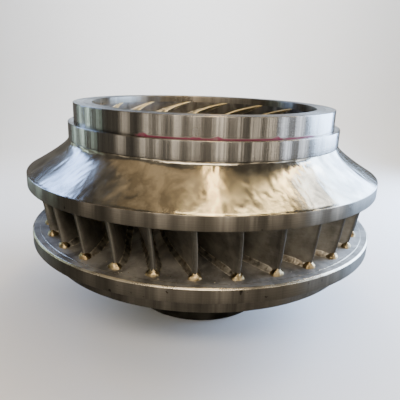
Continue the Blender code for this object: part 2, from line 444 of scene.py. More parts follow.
def fillet_mesh(name, blades, end, at_band, leg, spacing):
    """The two weld beads along one end of a blade, each a closed swept shell."""
    path = path_length(blades, end)
    first = 0.007 / path * end
    last = end * (0.985 if at_band or end < 1 else 0.93)
    # A few stations to each ripple, and ends that taper
    stations = int(path * (last - first) / end / (spacing / 2.6))
    verts = []
    faces = []
    swell = []
    along = []
    for side in (-1, 1):
        start = len(verts)
        travelled = 0.0
        before = None
        for i in range(stations + 1):
            t = i / stations
            taper = min(1.0, 0.55 + 6 * t, 0.3 + 9 * (1 - t))
            u = first + (last - first) * t
            ring = fillet_ring(blades, u, end, path, side, at_band, leg * taper)
            here = ring[0][0]
            travelled += (here - before).length if before else 0.0
            before = here
            verts += [point for point, _ in ring]
            swell += [amount * taper for _, amount in ring]
            along += [travelled] * len(ring)
        faces += lattice(stations + 1, len(ring), start, closed=True)
        faces.append(tuple(range(start, start + len(ring))))
        faces.append(tuple(reversed(range(len(verts) - len(ring), len(verts)))))
    return shell(name, verts, faces, 60, {"swell": swell, "along": along})


def heel_mesh(name, blades, at_band, reach, height):
    """The lump of weld that wraps a blade's nose, on the crown or under the band."""
    spokes = 28
    levels = 9
    # The heel reaches further back along the blade than out past its nose
    outer_stretch, inner_stretch = 0.62, 1.25
    up = Vector((0, 0, -1 if at_band else 1))
    centre = camber_point(blades, 0.004, 1.0 if at_band else 0.0)
    azimuth = math.atan2(centre.x, -centre.y)
    outward = placed(1, 0, azimuth)
    around = placed(1, 0, azimuth + math.pi / 2)
    verts = [centre + up * height]
    swell = [0.9]
    along = [0.0]
    for i in range(1, levels + 1):
        share = i / levels
        for k in range(spokes):
            turn = 2 * math.pi * k / spokes
            stretch = reach * (outer_stretch if math.cos(turn) > 0 else inner_stretch)
            flat = outward * math.cos(turn) * stretch * share + around * math.sin(turn) * reach * share
            rise = height * (0.5 * math.sqrt(1 - share * share) + 0.5 * (1 - share) ** 1.4)
            verts.append(centre + flat + up * (rise - (0.001 if i == levels else 0)))
            swell.append(0.9 if i < levels - 1 else 0.76)
            along.append(reach * share * 1.5 + turn * 0.002)
    verts.append(centre - up * 0.003)
    swell.append(0.0)
    along.append(0.0)
    faces = lattice(levels, spokes, 1, closed=True)
    last_ring = 1 + (levels - 1) * spokes
    for k in range(spokes):
        n = (k + 1) % spokes
        faces += [(0, 1 + k, 1 + n), (last_ring + k, len(verts) - 1, last_ring + n)]
    return shell(name, verts, faces, 70, {"swell": swell, "along": along})


# Geometry Nodes


def fill(node, inputs):
    """Sets a node's inputs. A socket is linked, and anything else becomes the input's value."""
    for key, value in inputs.items():
        if isinstance(value, bpy.types.NodeSocket):
            node.id_data.links.new(value, node.inputs[key])
        else:
            node.inputs[key].default_value = value


def add_node(tree, kind, *values, inputs=None, out=0, **named):
    """One node with its settings and links. It returns one of its outputs, or the node for None.

    The values fill its first inputs. A name with a capital is an input's, and any other is a setting's.
    A kind without Node in it is a shader node.
    """
    made = tree.nodes.new(kind if "Node" in kind else "ShaderNode" + kind)
    given = dict(enumerate(values)) | (inputs or {})
    for name, value in named.items():
        if name[0].isupper():
            given[name] = value
        else:
            setattr(made, name, value)
    fill(made, given)
    return made if out is None else made.outputs[out]


def new_tree(name, sockets):
    """An empty geometry tree with named inputs. It returns the tree, the function that adds
    its nodes, its inputs and its output node."""
    tree = bpy.data.node_groups.new(name, "GeometryNodeTree")
    tree.interface.new_socket(name="Geometry", in_out="OUTPUT", socket_type="NodeSocketGeometry")
    for label, kind in sockets.items():
        tree.interface.new_socket(name=label, in_out="INPUT", socket_type="NodeSocket" + kind)
    add = partial(add_node, tree)
    return tree, add, add("NodeGroupInput", out=None).outputs, add("NodeGroupOutput", out=None)


def ring_tree():
    """Copies of a piece round the runner's axis, with weld ripples and unevenness where it is marked."""
    measures = ("Turn", "Start", "Ripple Depth", "Ripple Spacing", "Unevenness", "Lump Size")
    sockets = {"Piece": "Geometry", "Copies": "Int", "Seed": "Int", "Material": "Material"}
    sockets |= dict.fromkeys(measures, "Float")
    tree, add, given, result = new_tree("Runner Ring", sockets)
    index = add("GeometryNodeInputIndex")
    turn = add("Math", index, given["Turn"], given["Start"], operation="MULTIPLY_ADD")
    spin = add("CombineXYZ", Z=turn)
    points = add("GeometryNodePoints", Count=given["Copies"])
    copies = add("GeometryNodeInstanceOnPoints", Points=points, Instance=given["Piece"], Rotation=spin)
    real = add("GeometryNodeRealizeInstances", copies)

    swell, along = [
        add("GeometryNodeInputNamedAttribute", Name=label, out="Attribute", data_type="FLOAT")
        for label in ("swell", "along")
    ]
    place = add("GeometryNodeInputPosition")
    fineness = add("Math", 1.0, given["Lump Size"], operation="DIVIDE")
    lumps = add(
        "TexNoise", Vector=place, W=given["Seed"], Scale=fineness, Detail=3.0, noise_dimensions="4D"
    )
    centred = add("Math", lumps, 0.5, operation="SUBTRACT")
    # The ripples bow back at the bead's middle and wander with its lumps
    bowed = add("Math", swell, 0.003, along, operation="MULTIPLY_ADD")
    steps = add("Math", bowed, given["Ripple Spacing"], operation="DIVIDE")
    shifted = add("Math", centred, 2.2, steps, operation="MULTIPLY_ADD")
    phase = add("Math", shifted, 2 * math.pi, operation="MULTIPLY")
    wave = add("Math", phase, operation="SINE")
    ripple = add("Math", wave, given["Ripple Depth"], operation="MULTIPLY")
    rise = add("Math", centred, given["Unevenness"], ripple, operation="MULTIPLY_ADD")
    masked = add("Math", rise, swell, operation="MULTIPLY")
    normal = add("GeometryNodeInputNormal")
    offset = add("VectorMath", normal, Scale=masked, operation="SCALE")
    moved = add("GeometryNodeSetPosition", Geometry=real, Offset=offset)
    fill(result, {0: add("GeometryNodeSetMaterial", Geometry=moved, Material=given["Material"])})
    return tree


def spatter_tree():
    """Beads of weld spatter strewn over a surface."""
    sockets = {"Surface": "Geometry", "Density": "Float", "Smallest": "Float", "Largest": "Float"}
    sockets |= {"Seed": "Int", "Material": "Material"}
    tree, add, given, result = new_tree("Weld Spatter", sockets)
    spread = {"Mesh": given["Surface"], "Density": given["Density"], "Seed": given["Seed"]}
    strewn = add("GeometryNodeDistributePointsOnFaces", inputs=spread, out="Points")
    bead = add("GeometryNodeMeshIcoSphere", Radius=1.0, Subdivisions=2, out="Mesh")
    limits = {2: given["Smallest"], 3: given["Largest"], "Seed": given["Seed"]}
    size = add("FunctionNodeRandomValue", inputs=limits, out=1, data_type="FLOAT")
    beads = add("GeometryNodeInstanceOnPoints", Points=strewn, Instance=bead, Scale=size)
    real = add("GeometryNodeRealizeInstances", beads)
    fill(result, {0: add("GeometryNodeSetMaterial", Geometry=real, Material=given["Material"])})
    return tree


def evaluated(guide, name):
    """The plain mesh that an object's modifiers make. The object is removed."""
    final = guide.evaluated_get(bpy.context.evaluated_depsgraph_get())
    made = bpy.data.meshes.new_from_object(final)
    made.name = name
    bpy.data.objects.remove(guide, do_unlink=True)
    if not made.polygons:
        raise RuntimeError(f"{name} came out empty")
    return made


def grown(name, mesh, tree, values):
    """The mesh that a geometry tree makes from this one."""
    guide = bpy.data.objects.new(name + "_guide", mesh)
    bpy.context.scene.collection.objects.link(guide)
    modifier = guide.modifiers.new("nodes", "NODES")
    modifier.node_group = tree
    for item in tree.interface.items_tree:
        if item.name in values:
            modifier[item.identifier] = values[item.name]
    return evaluated(guide, name)


def round_the_runner(name, mesh, material, short, ripple_depth=0.0, unevenness=0.0, lump=0.02):
    """A piece of one blade, repeated for all the blades of its kind."""
    blades = bpy.context.scene.runner_blades
    welds = bpy.context.scene.runner_welds
    turn = 2 * math.pi / blades.pairs
    values = {
        "Copies": blades.pairs,
        "Turn": turn,
        "Start": blades.first_azimuth + (0 if short else turn / 2),
        "Ripple Depth": ripple_depth,
        "Ripple Spacing": welds.ripple_spacing,
        "Unevenness": unevenness,
        "Lump Size": lump,
        "Seed": welds.seed,
        "Material": material,
    }
    return grown(name, mesh, ring_tree(), values)


# Materials

# Ground finishes: name, shade of the darker parts, tint, roughness, scale of the strokes, relief
GROUND = {
    "crown_face": ("Stainless, ground by hand, dull", 0.50, "#e0dbd0", 0.60, 7.0, 0.0006),
    "filed_edge": ("Stainless, broken edge, filed", 0.6, "#e6e0d2", 0.24, 12.0, 0.0002),
    "band_face": ("Stainless, ground and polished by hand", 0.48, "#c6bfae", 0.11, 8.0, 0.0003),
    "flow_side": ("Stainless, ground by hand, flow side", 0.4, "#8e8a80", 0.42, 7.0, 0.0006),
}


def deeper(base, share=1.0):
    """A darker shade of a colour, or the colour itself."""
    return (*(channel * share for channel in base[:3]), 1.0)


def begin(name, metallic, roughness):
    """A new material. It returns the material, the function that adds its nodes, its shader and the
    object position."""
    made = bpy.data.materials.new(name)
    made.use_nodes = True
    add = partial(add_node, made.node_tree)
    shader = made.node_tree.nodes["Principled BSDF"]
    fill(shader, {"Metallic": metallic, "Roughness": roughness})
    return made, add, shader, add("TexCoord", out="Object")


def round_axis(add, place):
    """Radius and height of a point, and its direction round the runner's axis."""
    flat = add("VectorMath", place, (1, 1, 0), operation="MULTIPLY")
    radius = add("VectorMath", flat, out="Value", operation="LENGTH")
    around = add("VectorMath", flat, operation="NORMALIZE")
    return radius, add("SeparateXYZ", place, out="Z"), around


def layered(add, base, layers):
    """A colour with others over it. Each comes in as its pattern goes from one level to another."""
    for pattern, begins, ends, most, tone in layers:
        share = add("MapRange", pattern, begins, ends, 0.0, most)
        base = add("Mix", share, inputs={6: base, 7: tone}, out=2, data_type="RGBA")
    return base


def ink_share(add, place, line):
    """The red layout line's ink, on the ledge or the wall: over the near side only, worn in places."""
    radius, z, around = round_axis(add, place)
    if line == "wall":
        smudge = add("TexNoise", Vector=around, Scale=8.0, Detail=4.0)
        rise = add("MapRange", smudge, 0.50, 0.68, 0.0005, 0.010)
        above = add("Math", z, rise, operation="SUBTRACT")
        foot = top_of("lower_seal_ring")
        share = add("MapRange", above, foot + INK_HEIGHT[1], foot + INK_HEIGHT[0])
    else:
        share = add("MapRange", radius, INK_RADIUS[1], INK_RADIUS[0])
    across, back = [add("SeparateXYZ", place, out=axis) for axis in "XY"]
    front = add("Math", back, -1.0, operation="MULTIPLY")
    azimuth = add("Math", across, front, operation="ARCTAN2")
    begins = add("MapRange", azimuth, math.radians(-25), math.radians(-22))
    ends = add("MapRange", azimuth, math.radians(47), math.radians(43))
    wear = add("TexNoise", Vector=place, Scale=45.0, Detail=4.0)
    worn = add("MapRange", wear, 0.32, 0.45, 0.35, 1.0)
    for limit in (begins, ends, worn):
        share = add("Math", share, limit, operation="MULTIPLY")
    return share


def turned_stainless(name, base, shade, roughness, nicked=0.0, ink=None, line=None):
    """Stainless steel turned on a lathe.

    The tool leaves fine rings, so lights smear into streaks across them, and slight chatter gives each
    stretch of the wall its own light or dark streak, which the colour also paints in as painted
    reflections. The real rings are 0.2 to 0.3 mm apart. They are drawn about 3 mm apart, because finer
    ones would not show.
    """
    made, add, shader, place = begin(name, 1.0, roughness)
    radius, z, around = round_axis(add, place)
    dark = deeper(base, shade)
    climb = add("Math", radius, z, operation="ADD")
    rings = add("TexNoise", W=climb, Scale=330.0, Detail=3.0, noise_dimensions="1D")
    # Painted reflections: light and dark streaks round the wall, painted into the colour
    streaks = add("TexNoise", Vector=around, Scale=7.0, Detail=6.0, Roughness=0.72)
    cloud = add("TexNoise", Vector=place, Scale=7.0, Detail=6.0, Roughness=0.6)
    layers = [
        (streaks, 0.38, 0.60, 1.0, deeper(base)),
        (cloud, 0.35, 0.68, 0.5, dark),
        (rings, 0.4, 0.6, 0.25, dark),
    ]
    if nicked:
        nicks = add("TexNoise", Vector=place, Scale=42.0, Detail=2.0)
        layers.append((nicks, 0.70, 0.73, nicked, linear("#2e2922")))
    rough = add("Math", cloud, 0.16, roughness - 0.08, operation="MULTIPLY_ADD")
    if ink:
        inked = ink_share(add, place, line)
        layers.append((inked, 0.0, 1.0, 1.0, deeper(ink)))
        rough = add("Math", inked, 0.25, rough, operation="MULTIPLY_ADD")
        metal = add("MapRange", inked, 0.0, 1.0, 1.0, 0.1)
        fill(shader, {"Metallic": metal})
    tangent = add("Tangent", direction_type="RADIAL", axis="Z")
    fill(shader, {"Anisotropic": 0.92, "Anisotropic Rotation": 0.25, "Tangent": tangent})
    chatter = add("TexNoise", Vector=around, Scale=19.0, Detail=5.0)
    waves = add("Bump", Strength=0.45, Distance=0.0015, Height=chatter)
    grooves = add("Bump", Strength=0.25, Distance=0.0002, Height=rings, Normal=waves)
    base = layered(add, dark, layers)
    fill(shader, {"Base Color": base, "Roughness": rough, "Normal": grooves})
    return made


def ground_stainless(finish, base):
    """Stainless steel ground by hand with a flap disc.

    The disc leaves long strokes down the slope, and smeared patches that each catch the light their own
    way. The real scratches are 0.1 to 0.3 mm apart. They are drawn some 3 mm apart, because finer ones
    would not show.
    """
    name, shade, tint, roughness, stroke, relief = GROUND[finish]
    made, add, shader, place = begin(name, 1.0, roughness)
    radius, z, around = round_axis(add, place)
    dark = deeper(base, shade)
    descent = add("Math", radius, z, operation="SUBTRACT")
    down = add("CombineXYZ", Z=descent)
    slanted = add("VectorMath", around, (1, 1, 0.12), down, operation="MULTIPLY_ADD")
    strokes = add("TexNoise", Vector=slanted, Scale=stroke, Detail=5.0, Roughness=0.5, Distortion=0.5)
    hairs = add("TexNoise", Vector=slanted, Scale=stroke * 9, Detail=3.0, Distortion=0.6)
    dents = add("TexNoise", Vector=place, Scale=34.0, Detail=4.0)
    cloud = add("TexNoise", Vector=place, Scale=6.0, Detail=6.0, Roughness=0.6)
    fine = add("TexNoise", Vector=place, Scale=30.0, Detail=5.0, Roughness=0.7)
    layers = [
        (strokes, 0.40, 0.60, 1.0, deeper(base)),
        (fine, 0.48, 0.70, 0.5, linear(tint)),
        (cloud, 0.48, 0.66, 0.6, dark),
    ]
    patches = add("Math", cloud, 0.20, roughness - 0.12, operation="MULTIPLY_ADD")
    rough = add("Math", strokes, 0.12, patches, operation="MULTIPLY_ADD")
    smear = add("Bump", Strength=0.6, Distance=relief * 1.5, Height=strokes)
    wavy = add("Bump", Strength=0.5, Distance=relief, Height=dents, Normal=smear)
    scratched = add("Bump", Strength=0.25, Distance=relief / 2, Height=hairs, Normal=wavy)
    base = layered(add, dark, layers)
    fill(shader, {"Base Color": base, "Roughness": rough, "Normal": scratched})
    return made


def ground_blade_steel(base):
    """Cast stainless blades, ground.

    They are dull and brown-grey. Their outlet edges are paler and golden, ground brightly and partly a
    painted highlight. The faces of their noses are darkened as painted shade, with a painted highlight
    along one corner.
    """
    made, add, shader, place = begin("Cast stainless, ground, dressed edges", 1.0, 0.5)
    cloud = add("TexNoise", Vector=place, Scale=11.0, Detail=6.0, Roughness=0.65)
    streak = add("Mapping", Vector=place, Scale=(30.0, 30.0, 260.0))
    scratches = add("TexNoise", Vector=streak, Scale=1.0, Detail=3.0)
    inlet = add("Attribute", out="Fac", attribute_name="from_inlet")
    outlet = add("Attribute", out="Fac", attribute_name="from_outlet")
    side = add("Attribute", out="Fac", attribute_name="side")
    # A painted highlight: the nose's corner on one side is drawn as a thin pale line, as if it caught
    # the light
    begins = add("MapRange", inlet, 0.0008, 0.0020)
    ends = add("MapRange", inlet, 0.0042, 0.0060, 0.35, 0.0)
    facing = add("MapRange", side, 0.2, 0.8)
    corner = add("Math", begins, ends, operation="MULTIPLY")
    corner = add("Math", corner, facing, operation="MULTIPLY")
    # The nose's face is darkened as painted shade, and the outlet edge is lightened as ground steel and
    # a painted highlight
    layers = [
        (cloud, 0.36, 0.64, 1.0, deeper(base)),
        (inlet, 0.012, 0.002, 0.8, deeper(base, 0.22)),
        (corner, 0.0, 1.0, 1.0, linear("#c0bbae")),
        (outlet, 0.012, 0.006, 1.0, linear("#dccfa8")),
    ]
    rough = add("MapRange", scratches, 0.35, 0.65, 0.44, 0.58)
    dull = add("MapRange", inlet, 0.010, 0.003, 0.0, 0.25)
    rough = add("Math", rough, dull, operation="ADD")
    bump = add("Bump", Strength=0.4, Distance=0.0004, Height=scratches)
    base = layered(add, deeper(base, 0.44), layers)
    fill(shader, {"Base Color": base, "Roughness": rough, "Normal": bump})
    return made


def weld_metal(name, base, shade, roughness):
    """Stainless weld metal as laid and wire brushed: pale and rippled, straw coloured in places, with
    bright broken lines along its toes that are painted highlights."""
    made, add, shader, place = begin(name, 1.0, roughness)
    cloud = add("TexNoise", Vector=place, Scale=60.0, Detail=5.0, Roughness=0.6)
    heat = add("TexNoise", Vector=place, Scale=7.0, Detail=3.0)
    swell = add("Attribute", out="Fac", attribute_name="swell")
    # Painted highlights: pale broken lines along the bead's toes
    toe_highlight = add("MapRange", swell, 0.74, 0.40, 0.0, 0.9)
    broken = add("MapRange", cloud, 0.40, 0.58, 0.15, 1.0)
    toe_highlight = add("Math", toe_highlight, broken, operation="MULTIPLY")
    layers = [
        (cloud, 0.36, 0.62, 1.0, deeper(base)),
        (heat, 0.5, 0.66, 0.22, linear("#b98f4e")),
        (toe_highlight, 0.0, 1.0, 1.0, linear("#e9e2cf")),
    ]
    rough = add("MapRange", cloud, 0.3, 0.7, roughness - 0.08, roughness + 0.12)
    bump = add("Bump", Strength=0.6, Distance=0.0014, Height=cloud)
    base = layered(add, deeper(base, shade), layers)
    fill(shader, {"Base Color": base, "Roughness": rough, "Normal": bump})
    return made


def hub_steel_painted_dark(base):
    """Carbon steel, rough turned: painted nearly black as shade, with faint tool rings."""
    made, add, shader, place = begin("Carbon steel, rough turned, painted dark as shade", 1.0, 0.5)
    radius, z, _ = round_axis(add, place)
    climb = add("Math", radius, z, operation="ADD")
    rings = add("TexNoise", W=climb, Scale=300.0, Detail=2.0, noise_dimensions="1D")
    grime = add("TexNoise", Vector=place, Scale=16.0, Detail=6.0)
    rough = add("MapRange", grime, 0.3, 0.7, 0.38, 0.62)
    bump = add("Bump", Strength=0.6, Distance=0.0003, Height=rings)
    base = layered(add, deeper(base, 0.24), [(grime, 0.35, 0.65, 1.0, deeper(base))])
    fill(shader, {"Base Color": base, "Roughness": rough, "Normal": bump})
    return made


def studio_paint():
    """Matt pale paint for the studio floor and sweep: hardly mottled, so that nothing distracts."""
    made, add, shader, place = begin("Matt pale studio paint", 0.0, 0.9)
    mottle = add("TexNoise", Vector=place, Scale=1.5, Detail=3.0)
    base = layered(add, linear("#ecebe8"), [(mottle, 0.0, 1.0, 1.0, linear("#f1f0ee"))])
    fill(shader, {"Base Color": base})
    return made


# Pieces


def keyed_ring(name, outline, sizes):
    """A turned ring with the keyway cut along the far side of its bore."""
    mesh = turned_mesh(name, outline, sizes.segments // 2)
    target = bpy.data.objects.new(name + "_blank", mesh)
    depth = sizes.bore_radius + sizes.keyway_depth
    work = bmesh.new()
    block = Matrix.Diagonal((sizes.keyway_width, depth, 2.0, 1.0))
    bmesh.ops.create_cube(work, size=1.0, matrix=Matrix.Translation((0, depth / 2, 0)) @ block)
    tool_mesh = bpy.data.meshes.new(name + "_cutter")
    work.to_mesh(tool_mesh)
    work.free()
    cutter = bpy.data.objects.new(name + "_cutter", tool_mesh)
    for guide in (target, cutter):
        bpy.context.scene.collection.objects.link(guide)
    cut = target.modifiers.new("keyway", "BOOLEAN")
    cut.operation = "DIFFERENCE"
    cut.solver = "EXACT"
    cut.object = cutter
    bpy.context.view_layer.update()
    made = evaluated(target, name)
    bpy.data.objects.remove(cutter, do_unlink=True)
    made.set_sharp_from_angle(angle=math.radians(32))
    return made


def crown_outline(sizes):
    """The crown's section: flow face, turned margin a hair lower, filed upper edge, rim and back."""
    top = CROWN_FLOW[0][1]
    margin = sizes.crown_radius - sizes.machined_margin
    margin_drop = 0.0005
    filed = 0.0045
    corners = [(CROWN_BORE_RADIUS, CROWN_FLOW[3][1], 0.001)]
    corners += curve_corners(CROWN_FLOW, 44)[::-1][:-1]
    corners += [
        (margin, top, 0.0006),
        (margin + 0.0009, top - margin_drop, 0.0004),
        (sizes.crown_radius - filed, top - margin_drop, 0.0010),
        (sizes.crown_radius, top - 0.0052, 0.0010),
        (sizes.crown_radius, sizes.crown_rim_bottom, sizes.edge),
        (sizes.crown_back_radius, sizes.crown_rim_bottom, 0),
        (sizes.crown_back_radius, foot_of("crown"), sizes.edge),
        (CROWN_BORE_RADIUS, foot_of("crown"), 0.001),
    ]
    return subdivided(rounded(corners))


def band_outline(sizes):
    """The band's section: sleeve, shoulder, trumpet, rim, and flow side back up to the throat."""
    top = top_of("band")
    rim = radius_of("band")
    neck, shoulder = BAND_OUTSIDE[0]
    corners = [
        (BAND_FLOW[3][0], top, sizes.edge),
        (sizes.sleeve_radius, top, 0.0008),
        (sizes.sleeve_radius, shoulder, 0),
        (neck, shoulder, 0.0010),
        *curve_corners(BAND_OUTSIDE, 60)[1:-1],
        (rim, BAND_OUTSIDE[2][1] - 0.0004, sizes.edge),
        (rim, sizes.band_rim_bottom, sizes.edge),
        *curve_corners(BAND_FLOW, 26),
    ]
    return subdivided(rounded(corners))


def disc_marks(seed):
    """Shallow hollows and curved swirls that the grinding disc left in the band's outside."""
    rng = np.random.default_rng(seed)
    count = 620
    turn = rng.uniform(0, 2 * math.pi, count)
    height = rng.uniform(0.505, 0.607, count)
    reach = rng.uniform(0.016, 0.034, count)
    lean = math.pi / 2 + rng.normal(0, 0.35, count)
    depth = rng.uniform(0.00010, 0.00045, count)
    # Azimuth in degrees and height of the swirls, those on the near side first
    swirls = [(10, 0.532), (19, 0.545), (33, 0.524), (42, 0.525), (27, 0.522)]
    swirls += zip(rng.uniform(70, 345, 22), rng.uniform(0.520, 0.550, 22))
    swirl_radius, swirl_width, swirl_depth, swirl_reach = 0.018, 0.0105, 0.00038, 0.030
    # The trumpet's outside lies between these heights, and outside these radii
    heights, inner_radii = [0.5075, 0.5705, 0.6075], [0.545, 0.467, 0.440]
    slope = 1.5

    def relief(radius, z, around):
        rise = np.zeros(np.broadcast(radius, around).shape)
        outside = (z > heights[0]) & (z < heights[-1])
        outside &= radius > np.interp(z, heights, inner_radii)
        rows = np.where(outside[:, 0])[0]

        def pressed(place, level, extent, shape):
            """Presses in a shape, given as its depth at a distance round and up the slope."""
            near = rows[np.abs(z[rows, 0] - level) < extent]
            gap = (around[0] - place + math.pi) % (2 * math.pi) - math.pi
            columns = np.where(np.abs(gap) * 0.5 < extent * 1.4)[0]
            if len(near) and len(columns):
                across = gap[columns][None, :] * radius[near, :1]
                up = (z[near, 0] - level)[:, None] * slope
                block = np.ix_(near, columns)
                rise[block] = np.minimum(rise[block], -shape(across, up))

        def swirl(across, up):
            off = (np.hypot(across, up) - swirl_radius) / swirl_width
            return swirl_depth * np.clip(1 - off * off, 0, 1) * np.clip(0.8 - up / 0.012, 0, 1)

        for k in range(count):

            def hollow(across, up):
                along = across * math.cos(lean[k]) + up * math.sin(lean[k])
                side = -across * math.sin(lean[k]) + up * math.cos(lean[k])
                share = (along / (reach[k] * 1.4)) ** 2 + (side / (reach[k] * 0.45)) ** 2
                return depth[k] * np.clip(1 - share, 0, 1)

            pressed(turn[k], height[k], reach[k], hollow)
        for azimuth, level in swirls:
            pressed(math.radians(azimuth), level, swirl_reach, swirl)
        return rise

    return relief


class RUNNER_OT_crown(bpy.types.Operator):
    """Make the crown and the seal ring on its back"""

    bl_idname = "runner.crown"
    bl_label = "Crown and Back Ring"

    def execute(self, context):
        sizes = context.scene.runner_sizes
        colours = context.scene.runner_colours
        ground = ground_stainless("crown_face", colours.crown_face)
        rim = turned_stainless("Stainless, turned, crown rim", colours.rims, 0.46, 0.32, nicked=0.8)
        # The filed edge is pale golden as filed steel, and partly as a painted highlight along the
        # crown's upper edge
        filed = ground_stainless("filed_edge", colours.filed_edge)
        crown = turned_mesh("crown_turned", crown_outline(sizes), sizes.segments)
        for material in (ground, rim, filed):
            crown.materials.append(material)
        margin = sizes.crown_radius - sizes.machined_margin
        outermost = sizes.crown_radius - 0.001
        under_face = CROWN_FLOW[0][1] - 0.0015
        for face in crown.polygons:
            radius = math.hypot(face.center.x, face.center.y)
            low = face.center.z < under_face and face.normal.z < 0.5
            face.material_index = 1 if low or radius > outermost else 0
            if radius > margin and 0.25 < face.normal.z < 0.97:
                face.material_index = 2
        shown("crown_turned", crown, None, ["crown"])

        # Painted shade: the back ring is the rims' steel drawn darker, as it lies under the crown
        shaded = deeper(colours.rims, 0.85)
        back = turned_stainless("Stainless, turned, crown's back", shaded, 0.46, 0.38)
        edges = (SLIGHT_EDGE, sizes.edge, sizes.edge, 0.0010)
        outline = ring_outline("crown_seal_ring", sizes.crown_back_radius + FIT_GAP, edges)
        ring = turned_mesh("crown_seal_ring_turned", subdivided(outline), sizes.segments)
        shown("crown_seal_ring_turned", ring, back, ["crown_seal_ring"])
        return {"FINISHED"}


class RUNNER_OT_hubs(bpy.types.Operator):
    """Make the crown's bored hub and the shaft hub under it, both with the keyway"""

    bl_idname = "runner.hubs"
    bl_label = "Hubs"

    def execute(self, context):
        sizes = context.scene.runner_sizes
        colours = context.scene.runner_colours
        bright = turned_stainless("Stainless, turned, crown hub", colours.rims, 0.46, 0.32, nicked=0.8)
        # The shaft hub's steel is painted nearly black as shade
        dark = hub_steel_painted_dark(colours.shaft_hub)
        chamfer = 0.006
        hubs = (
            ("crown_hub", (sizes.edge, sizes.edge, SLIGHT_EDGE, SLIGHT_EDGE), bright, "ground_steel"),
            ("shaft_hub", (SLIGHT_EDGE, chamfer, chamfer, sizes.edge), dark, "dark_hub"),
        )
        for node, edges, steel, slot in hubs:
            name = node + "_turned"
            hub = keyed_ring(name, ring_outline(node, sizes.bore_radius, edges), sizes)
            shown(name, hub, steel, [node])
        return {"FINISHED"}


class RUNNER_OT_band(bpy.types.Operator):
    """Make the band, with its polished outside and dull flow side"""

    bl_idname = "runner.band"
    bl_label = "Band"

    def execute(self, context):
        sizes = context.scene.runner_sizes
        colours = context.scene.runner_colours
        polished = ground_stainless("band_face", colours.band_face)
        rim = turned_stainless("Stainless, turned, band rim", colours.rims, 0.46, 0.30, nicked=0.8)
        dull = ground_stainless("flow_side", colours.flow_side)
        band = turned_mesh("band_turned", band_outline(sizes), sizes.band_segments, disc_marks(11))
        for material in (polished, rim, dull):
            band.materials.append(material)
        foot = sizes.band_rim_bottom + 0.001
        outermost = radius_of("band") - 0.0012
        turned_from = BAND_FLOW[3][1] + 0.0015
        for face in band.polygons:
            radius = math.hypot(face.center.x, face.center.y)
            wall = radius > outermost and face.center.z > foot
            outwards = (face.normal.x * face.center.x + face.normal.y * face.center.y) / radius
            if wall or face.center.z > turned_from:
                face.material_index = 1
            elif outwards < -0.5 or face.normal.z < -0.2:
                face.material_index = 2
        shown("band_turned", band, None, ["band"])
        return {"FINISHED"}


class RUNNER_OT_seal_rings(bpy.types.Operator):
    """Make the two seal rings on the band's sleeve, with the red layout line between them"""

    bl_idname = "runner.seal_rings"
    bl_label = "Seal Rings"

    def execute(self, context):
        sizes = context.scene.runner_sizes
        colours = context.scene.runner_colours
        rings = (("lower_seal_ring", "ledge", sizes.edge), ("upper_seal_ring", "wall", 0.0006))
        for node, line, foot in rings:
            label = f"Stainless, fine turned, inked {line}"
            steel = turned_stainless(label, colours.rings, 0.41, 0.25, ink=colours.marker, line=line)
            edges = (SLIGHT_EDGE, sizes.edge, foot, SLIGHT_EDGE)
            outline = subdivided(ring_outline(node, sizes.sleeve_radius + FIT_GAP, edges))
            ring = turned_mesh(node + "_turned", outline, sizes.segments)
            shown(node + "_turned", ring, steel, [node])
        return {"FINISHED"}


class RUNNER_OT_blades(bpy.types.Operator):
    """Make the long and the short blades"""

    bl_idname = "runner.blades"
    bl_label = "Blades"

    def execute(self, context):
        blades = context.scene.runner_blades
        steel = ground_blade_steel(context.scene.runner_colours.blades)
        for kind, end, nodes in (("long", 1.0, LONG_NODES), ("short", blades.short_share, SHORT_NODES)):
            one = blade_mesh(kind + "_blade_pattern", blades, end)
            mesh = round_the_runner(kind + "_blades", one, steel, kind == "short")
            shown(kind + "_blades", mesh, steel, nodes)
        return {"FINISHED"}


class RUNNER_OT_welds(bpy.types.Operator):
    """Make the weld beads along the blades' ends, and the heels round their noses"""

    bl_idname = "runner.welds"
    bl_label = "Welds"

    def execute(self, context):
        blades = context.scene.runner_blades
        welds = context.scene.runner_welds
        colours = context.scene.runner_colours
        bead = weld_metal("Stainless weld metal, wire brushed", deeper(colours.welds, 0.80), 0.36, 0.50)
        heel = weld_metal("Stainless weld metal, bright heel", colours.heels, 0.22, 0.34)
        # Where the weld is, its leg, and its heel's reach and height
        ends = (("crown", welds.crown_leg, 0.0200, 0.0205), ("band", welds.band_leg, 0.011, 0.009))
        for kind, end in (("long", 1.0), ("short", blades.short_share)):
            short = kind == "short"
            for disc, leg, _, _ in ends:
                name = f"{kind}_{disc}_welds"
                spacing = welds.ripple_spacing
                one = fillet_mesh(name + "_pattern", blades, end, disc == "band", leg, spacing)
                depth = welds.ripple_depth
                mesh = round_the_runner(name, one, bead, short, depth, unevenness=0.0022, lump=0.012)
                shown(name, mesh, bead)
            for disc, _, reach, height in ends:
                name = f"{kind}_{disc}_heels"
                one = heel_mesh(name + "_pattern", blades, disc == "band", reach, height)
                mesh = round_the_runner(name, one, heel, short, unevenness=0.013, lump=0.010)
                shown(name, mesh, heel)
        return {"FINISHED"}


